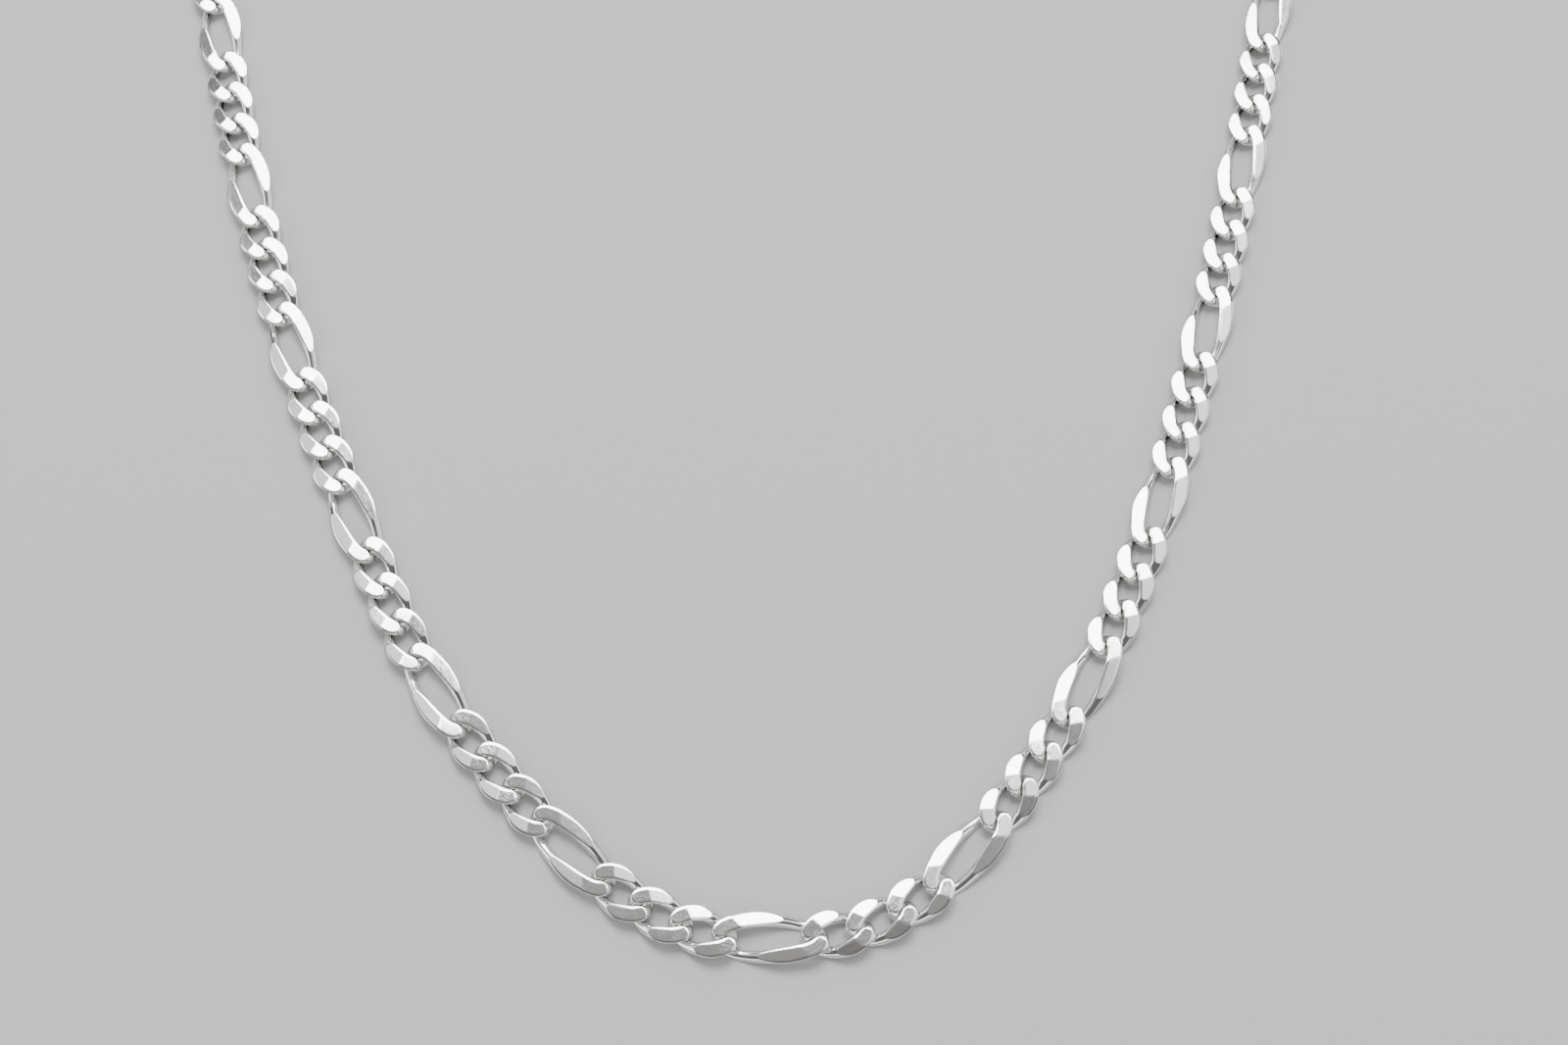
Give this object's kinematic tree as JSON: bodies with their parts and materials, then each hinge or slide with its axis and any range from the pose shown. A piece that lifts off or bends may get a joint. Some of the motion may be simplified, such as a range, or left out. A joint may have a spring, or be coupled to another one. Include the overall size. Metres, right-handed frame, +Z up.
{
  "type": "chain necklace",
  "caption": "Silver figaro curb chain necklace with a lobster clasp: short and long oval links with filed flat faces, laid flat and undone in a V.",
  "frame": {"origin": "centre of the base of the part's box, on the surface that the chain lies on", "axes": "+X to the right across the V as worn and seen from the front, +Y from the lowest link up to the clasp, +Z up, away from the surface and out through the links' front faces"},
  "size_m": [0.1604, 0.1872, 0.0045],
  "materials": {
    "silver": "polished, with a little wear",
    "spring_steel": "drawn wire"
  },
  "bodies": {
    "centre_link": {"centre_long_link": "silver"},
    "left_01_short_link": {"left_01_short_link": "silver"},
    "left_02_short_link": {"left_02_short_link": "silver"},
    "left_03_short_link": {"left_03_short_link": "silver"},
    "left_04_long_link": {"left_04_long_link": "silver"},
    "left_05_short_link": {"left_05_short_link": "silver"},
    "left_06_short_link": {"left_06_short_link": "silver"},
    "left_07_short_link": {"left_07_short_link": "silver"},
    "left_08_long_link": {"left_08_long_link": "silver"},
    "left_09_short_link": {"left_09_short_link": "silver"},
    "left_10_short_link": {"left_10_short_link": "silver"},
    "left_11_short_link": {"left_11_short_link": "silver"},
    "left_12_long_link": {"left_12_long_link": "silver"},
    "left_13_short_link": {"left_13_short_link": "silver"},
    "left_14_short_link": {"left_14_short_link": "silver"},
    "left_15_short_link": {"left_15_short_link": "silver"},
    "left_16_long_link": {"left_16_long_link": "silver"},
    "left_17_short_link": {"left_17_short_link": "silver"},
    "left_18_short_link": {"left_18_short_link": "silver"},
    "left_19_short_link": {"left_19_short_link": "silver"},
    "left_20_long_link": {"left_20_long_link": "silver"},
    "left_21_short_link": {"left_21_short_link": "silver"},
    "left_22_short_link": {"left_22_short_link": "silver"},
    "left_23_short_link": {"left_23_short_link": "silver"},
    "left_24_long_link": {"left_24_long_link": "silver"},
    "left_back_run_1": {"left_back_run_1": "silver"},
    "left_back_run_2": {"left_back_run_2": "silver"},
    "right_01_short_link": {"right_01_short_link": "silver"},
    "right_02_short_link": {"right_02_short_link": "silver"},
    "right_03_short_link": {"right_03_short_link": "silver"},
    "right_04_long_link": {"right_04_long_link": "silver"},
    "right_05_short_link": {"right_05_short_link": "silver"},
    "right_06_short_link": {"right_06_short_link": "silver"},
    "right_07_short_link": {"right_07_short_link": "silver"},
    "right_08_long_link": {"right_08_long_link": "silver"},
    "right_09_short_link": {"right_09_short_link": "silver"},
    "right_10_short_link": {"right_10_short_link": "silver"},
    "right_11_short_link": {"right_11_short_link": "silver"},
    "right_12_long_link": {"right_12_long_link": "silver"},
    "right_13_short_link": {"right_13_short_link": "silver"},
    "right_14_short_link": {"right_14_short_link": "silver"},
    "right_15_short_link": {"right_15_short_link": "silver"},
    "right_16_long_link": {"right_16_long_link": "silver"},
    "right_17_short_link": {"right_17_short_link": "silver"},
    "right_18_short_link": {"right_18_short_link": "silver"},
    "right_19_short_link": {"right_19_short_link": "silver"},
    "right_20_long_link": {"right_20_long_link": "silver"},
    "right_21_short_link": {"right_21_short_link": "silver"},
    "right_22_short_link": {"right_22_short_link": "silver"},
    "right_23_short_link": {"right_23_short_link": "silver"},
    "right_24_long_link": {"right_24_long_link": "silver"},
    "right_back_run_1": {"right_back_run_1": "silver"},
    "right_back_run_2": {"right_back_run_2": "silver"},
    "clasp_ring": {"clasp_ring": "silver"},
    "lobster": {"lobster_body": "silver", "lobster_pivot_pin": "silver", "lobster_spring": "spring_steel"},
    "trigger": {"lobster_trigger": "silver"},
    "end_ring": {"end_ring": "silver"}
  },
  "joints": [
    {"name": "left_01_bend", "type": "hinge", "parent": "centre_link", "child": "left_01_short_link", "pos_m": [-0.00098, -0.09095, 0.0008], "axis": [0, 0, 1], "range_deg": [-15, 45]},
    {"name": "left_02_fold", "type": "hinge", "parent": "left_01_short_link", "child": "left_02_short_link", "pos_m": [-0.00624, -0.08956, 0.0008], "axis": [-0.3518, -0.9361, 0], "range_deg": [-24, 24]},
    {"name": "left_03_bend", "type": "hinge", "parent": "left_02_short_link", "child": "left_03_short_link", "pos_m": [-0.0111, -0.08715, 0.0008], "axis": [0, 0, -1], "range_deg": [-37, 23]},
    {"name": "left_04_fold", "type": "hinge", "parent": "left_03_short_link", "child": "left_04_long_link", "pos_m": [-0.01562, -0.08414, 0.0008], "axis": [0.6244, 0.7811, 0], "range_deg": [-25, 25]},
    {"name": "left_05_bend", "type": "hinge", "parent": "left_04_long_link", "child": "left_05_short_link", "pos_m": [-0.0232, -0.07691, 0.0008], "axis": [0, 0, -1], "range_deg": [-33, 27]},
    {"name": "left_06_fold", "type": "hinge", "parent": "left_05_short_link", "child": "left_06_short_link", "pos_m": [-0.02689, -0.07292, 0.0008], "axis": [0.7432, 0.6691, 0], "range_deg": [-29, 29]},
    {"name": "left_07_bend", "type": "hinge", "parent": "left_06_short_link", "child": "left_07_short_link", "pos_m": [-0.03047, -0.06883, 0.0008], "axis": [0, 0, 1], "range_deg": [-28, 32]},
    {"name": "left_08_fold", "type": "hinge", "parent": "left_07_short_link", "child": "left_08_long_link", "pos_m": [-0.03388, -0.06461, 0.0008], "axis": [-0.8047, -0.5937, 0], "range_deg": [-27, 27]},
    {"name": "left_09_bend", "type": "hinge", "parent": "left_08_long_link", "child": "left_09_short_link", "pos_m": [-0.03972, -0.05591, 0.0008], "axis": [0, 0, 1], "range_deg": [-24, 36]},
    {"name": "left_10_fold", "type": "hinge", "parent": "left_09_short_link", "child": "left_10_short_link", "pos_m": [-0.04228, -0.05112, 0.0008], "axis": [-0.8925, -0.4511, 0], "range_deg": [-29, 29]},
    {"name": "left_11_bend", "type": "hinge", "parent": "left_10_short_link", "child": "left_11_short_link", "pos_m": [-0.04462, -0.04622, 0.0008], "axis": [0, 0, -1], "range_deg": [-31, 29]},
    {"name": "left_12_fold", "type": "hinge", "parent": "left_11_short_link", "child": "left_12_long_link", "pos_m": [-0.04685, -0.04127, 0.0008], "axis": [0.9117, 0.4109, 0], "range_deg": [-30, 30]},
    {"name": "left_13_bend", "type": "hinge", "parent": "left_12_long_link", "child": "left_13_short_link", "pos_m": [-0.05116, -0.03172, 0.0008], "axis": [0, 0, -1], "range_deg": [-31, 29]},
    {"name": "left_14_fold", "type": "hinge", "parent": "left_13_short_link", "child": "left_14_short_link", "pos_m": [-0.05333, -0.02674, 0.0008], "axis": [0.9193, 0.3936, 0], "range_deg": [-30, 30]},
    {"name": "left_15_bend", "type": "hinge", "parent": "left_14_short_link", "child": "left_15_short_link", "pos_m": [-0.05543, -0.02173, 0.0008], "axis": [0, 0, 1], "range_deg": [-29, 31]},
    {"name": "left_16_fold", "type": "hinge", "parent": "left_15_short_link", "child": "left_16_long_link", "pos_m": [-0.05744, -0.01669, 0.0008], "axis": [-0.9335, -0.3587, 0], "range_deg": [-29, 29]},
    {"name": "left_17_bend", "type": "hinge", "parent": "left_16_long_link", "child": "left_17_short_link", "pos_m": [-0.06107, -0.00686, 0.0008], "axis": [0, 0, 1], "range_deg": [-29, 31]},
    {"name": "left_18_fold", "type": "hinge", "parent": "left_17_short_link", "child": "left_18_short_link", "pos_m": [-0.06283, -0.00172, 0.0008], "axis": [-0.9486, -0.3163, 0], "range_deg": [-30, 30]},
    {"name": "left_19_bend", "type": "hinge", "parent": "left_18_short_link", "child": "left_19_short_link", "pos_m": [-0.06451, 0.00344, 0.0008], "axis": [0, 0, -1], "range_deg": [-31, 29]},
    {"name": "left_20_fold", "type": "hinge", "parent": "left_19_short_link", "child": "left_20_long_link", "pos_m": [-0.06613, 0.00863, 0.0008], "axis": [0.9574, 0.2886, 0], "range_deg": [-29, 29]},
    {"name": "left_21_bend", "type": "hinge", "parent": "left_20_long_link", "child": "left_21_short_link", "pos_m": [-0.06906, 0.01869, 0.0008], "axis": [0, 0, -1], "range_deg": [-31, 29]},
    {"name": "left_22_fold", "type": "hinge", "parent": "left_21_short_link", "child": "left_22_short_link", "pos_m": [-0.07047, 0.02393, 0.0008], "axis": [0.9669, 0.2551, 0], "range_deg": [-30, 30]},
    {"name": "left_23_bend", "type": "hinge", "parent": "left_22_short_link", "child": "left_23_short_link", "pos_m": [-0.07183, 0.02919, 0.0008], "axis": [0, 0, 1], "range_deg": [-30, 30]},
    {"name": "left_24_fold", "type": "hinge", "parent": "left_23_short_link", "child": "left_24_long_link", "pos_m": [-0.07315, 0.03446, 0.0008], "axis": [-0.9707, -0.2402, 0], "range_deg": [-30, 30]},
    {"name": "left_25_bend", "type": "hinge", "parent": "left_24_long_link", "child": "left_back_run_1", "pos_m": [-0.07564, 0.04464, 0.0008], "axis": [0, 0, 1], "range_deg": [-30, 30]},
    {"name": "left_26_fold", "type": "hinge", "parent": "left_back_run_1", "child": "left_back_run_2", "pos_m": [-0.07482, 0.07191, 0.0008], "axis": [-0.9106, 0.4133, 0], "range_deg": [-15, 15]},
    {"name": "right_01_bend", "type": "hinge", "parent": "centre_link", "child": "right_01_short_link", "pos_m": [0.0095, -0.09095, 0.0008], "axis": [0, 0, 1], "range_deg": [-41, 19]},
    {"name": "right_02_fold", "type": "hinge", "parent": "right_01_short_link", "child": "right_02_short_link", "pos_m": [0.01483, -0.08994, 0.0008], "axis": [-0.3095, 0.9509, 0], "range_deg": [-23, 23]},
    {"name": "right_03_bend", "type": "hinge", "parent": "right_02_short_link", "child": "right_03_short_link", "pos_m": [0.01974, -0.08761, 0.0008], "axis": [0, 0, -1], "range_deg": [-21, 39]},
    {"name": "right_04_fold", "type": "hinge", "parent": "right_03_short_link", "child": "right_04_long_link", "pos_m": [0.0242, -0.08453, 0.0008], "axis": [0.661, -0.7504, 0], "range_deg": [-23, 23]},
    {"name": "right_05_bend", "type": "hinge", "parent": "right_04_long_link", "child": "right_05_short_link", "pos_m": [0.0312, -0.07673, 0.0008], "axis": [0, 0, -1], "range_deg": [-25, 35]},
    {"name": "right_06_fold", "type": "hinge", "parent": "right_05_short_link", "child": "right_06_short_link", "pos_m": [0.03447, -0.07239, 0.0008], "axis": [0.8083, -0.5887, 0], "range_deg": [-29, 29]},
    {"name": "right_07_bend", "type": "hinge", "parent": "right_06_short_link", "child": "right_07_short_link", "pos_m": [0.0376, -0.06795, 0.0008], "axis": [0, 0, 1], "range_deg": [-32, 28]},
    {"name": "right_08_fold", "type": "hinge", "parent": "right_07_short_link", "child": "right_08_long_link", "pos_m": [0.04058, -0.06341, 0.0008], "axis": [-0.854, 0.5203, 0], "range_deg": [-28, 28]},
    {"name": "right_09_bend", "type": "hinge", "parent": "right_08_long_link", "child": "right_09_short_link", "pos_m": [0.04572, -0.05428, 0.0008], "axis": [0, 0, 1], "range_deg": [-34, 26]},
    {"name": "right_10_fold", "type": "hinge", "parent": "right_09_short_link", "child": "right_10_short_link", "pos_m": [0.04802, -0.04936, 0.0008], "axis": [-0.9142, 0.4053, 0], "range_deg": [-29, 29]},
    {"name": "right_11_bend", "type": "hinge", "parent": "right_10_short_link", "child": "right_11_short_link", "pos_m": [0.05012, -0.04435, 0.0008], "axis": [0, 0, -1], "range_deg": [-29, 31]},
    {"name": "right_12_fold", "type": "hinge", "parent": "right_11_short_link", "child": "right_12_long_link", "pos_m": [0.0521, -0.0393, 0.0008], "axis": [0.9347, -0.3553, 0], "range_deg": [-29, 29]},
    {"name": "right_13_bend", "type": "hinge", "parent": "right_12_long_link", "child": "right_13_short_link", "pos_m": [0.05572, -0.02946, 0.0008], "axis": [0, 0, -1], "range_deg": [-28, 32]},
    {"name": "right_14_fold", "type": "hinge", "parent": "right_13_short_link", "child": "right_14_short_link", "pos_m": [0.05743, -0.02431, 0.0008], "axis": [0.9524, -0.3048, 0], "range_deg": [-29, 29]},
    {"name": "right_15_bend", "type": "hinge", "parent": "right_14_short_link", "child": "right_15_short_link", "pos_m": [0.05903, -0.01912, 0.0008], "axis": [0, 0, 1], "range_deg": [-31, 29]},
    {"name": "right_16_fold", "type": "hinge", "parent": "right_15_short_link", "child": "right_16_long_link", "pos_m": [0.06059, -0.01392, 0.0008], "axis": [-0.9594, 0.2822, 0], "range_deg": [-30, 30]},
    {"name": "right_17_bend", "type": "hinge", "parent": "right_16_long_link", "child": "right_17_short_link", "pos_m": [0.06351, -0.00385, 0.0008], "axis": [0, 0, 1], "range_deg": [-31, 29]},
    {"name": "right_18_fold", "type": "hinge", "parent": "right_17_short_link", "child": "right_18_short_link", "pos_m": [0.06495, 0.00138, 0.0008], "axis": [-0.9652, 0.2615, 0], "range_deg": [-30, 30]},
    {"name": "right_19_bend", "type": "hinge", "parent": "right_18_short_link", "child": "right_19_short_link", "pos_m": [0.06635, 0.00663, 0.0008], "axis": [0, 0, -1], "range_deg": [-30, 30]},
    {"name": "right_20_fold", "type": "hinge", "parent": "right_19_short_link", "child": "right_20_long_link", "pos_m": [0.0677, 0.01189, 0.0008], "axis": [0.9696, -0.2449, 0], "range_deg": [-30, 30]},
    {"name": "right_21_bend", "type": "hinge", "parent": "right_20_long_link", "child": "right_21_short_link", "pos_m": [0.07021, 0.02206, 0.0008], "axis": [0, 0, -1], "range_deg": [-29, 31]},
    {"name": "right_22_fold", "type": "hinge", "parent": "right_21_short_link", "child": "right_22_short_link", "pos_m": [0.07145, 0.02735, 0.0008], "axis": [0.9745, -0.2242, 0], "range_deg": [-30, 30]},
    {"name": "right_23_bend", "type": "hinge", "parent": "right_22_short_link", "child": "right_23_short_link", "pos_m": [0.07265, 0.03265, 0.0008], "axis": [0, 0, 1], "range_deg": [-30, 30]},
    {"name": "right_24_fold", "type": "hinge", "parent": "right_23_short_link", "child": "right_24_long_link", "pos_m": [0.07384, 0.03794, 0.0008], "axis": [-0.9735, 0.2287, 0], "range_deg": [-29, 29]},
    {"name": "right_25_bend", "type": "hinge", "parent": "right_24_long_link", "child": "right_back_run_1", "pos_m": [0.07634, 0.04812, 0.0008], "axis": [0, 0, 1], "range_deg": [-31, 29]},
    {"name": "right_26_fold", "type": "hinge", "parent": "right_back_run_1", "child": "right_back_run_2", "pos_m": [0.07304, 0.07502, 0.0008], "axis": [-0.8584, -0.513, 0], "range_deg": [-15, 15]},
    {"name": "clasp_ring_swing", "type": "hinge", "parent": "left_back_run_2", "child": "clasp_ring", "pos_m": [-0.05202, 0.08727, 0.00233], "axis": [0.3045, -0.9525, 0], "range_deg": [-15, 40]},
    {"name": "clasp_swivel", "type": "hinge", "parent": "clasp_ring", "child": "lobster", "pos_m": [-0.04973, 0.088, 0.00258], "axis": [0.1161, 0.0371, 0.9925], "range_deg": [-18, 18]},
    {"name": "clasp_trigger_open", "type": "hinge", "parent": "lobster", "child": "trigger", "pos_m": [-0.0452, 0.08882, 0.00202], "axis": [0.1161, 0.0371, 0.9925], "range_deg": [0, 25], "stiffness_Nm_per_rad": 0.004, "deforming": ["lobster_spring"]},
    {"name": "end_ring_swing", "type": "hinge", "parent": "right_back_run_2", "child": "end_ring", "pos_m": [0.04857, 0.08777, 0.0008], "axis": [0.2134, 0.977, 0], "range_deg": [-8, 20]}
  ]
}
